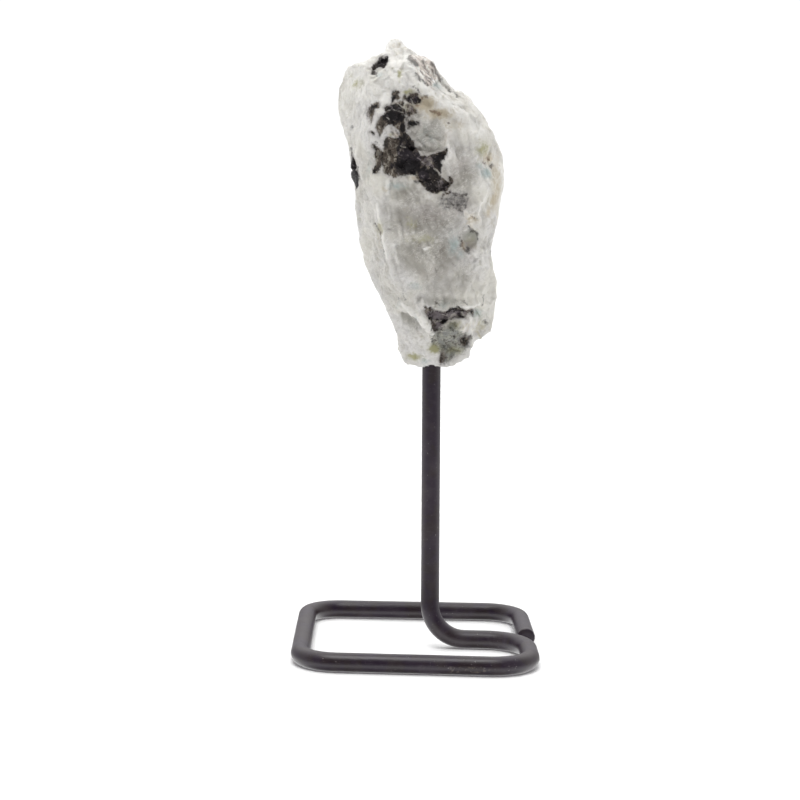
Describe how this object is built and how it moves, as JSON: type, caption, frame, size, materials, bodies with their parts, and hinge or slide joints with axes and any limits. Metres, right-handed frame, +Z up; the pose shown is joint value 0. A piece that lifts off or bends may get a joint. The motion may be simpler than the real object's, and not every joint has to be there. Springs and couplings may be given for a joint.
{
  "type": "rough moonstone specimen on a wire stand",
  "caption": "Rough pale moonstone crystal with dark mineral inclusions, standing upright on a black bent-rod stand with an open square base loop.",
  "frame": {"origin": "on the ground at the centre of the stand's base loop", "axes": "+Z up along the post, +X to the right of the front view, front towards -Y"},
  "size_m": [0.0634, 0.0678, 0.1573],
  "materials": {
    "stand_coat": "matt black powder coat on steel rod, lightly chipped",
    "moonstone": "rough broken cleavage, cloudy and slightly translucent white, with near-black inclusions and tan stains"
  },
  "bodies": {
    "root": {"wire_stand": "stand_coat", "moonstone": "moonstone"}
  },
  "joints": []
}
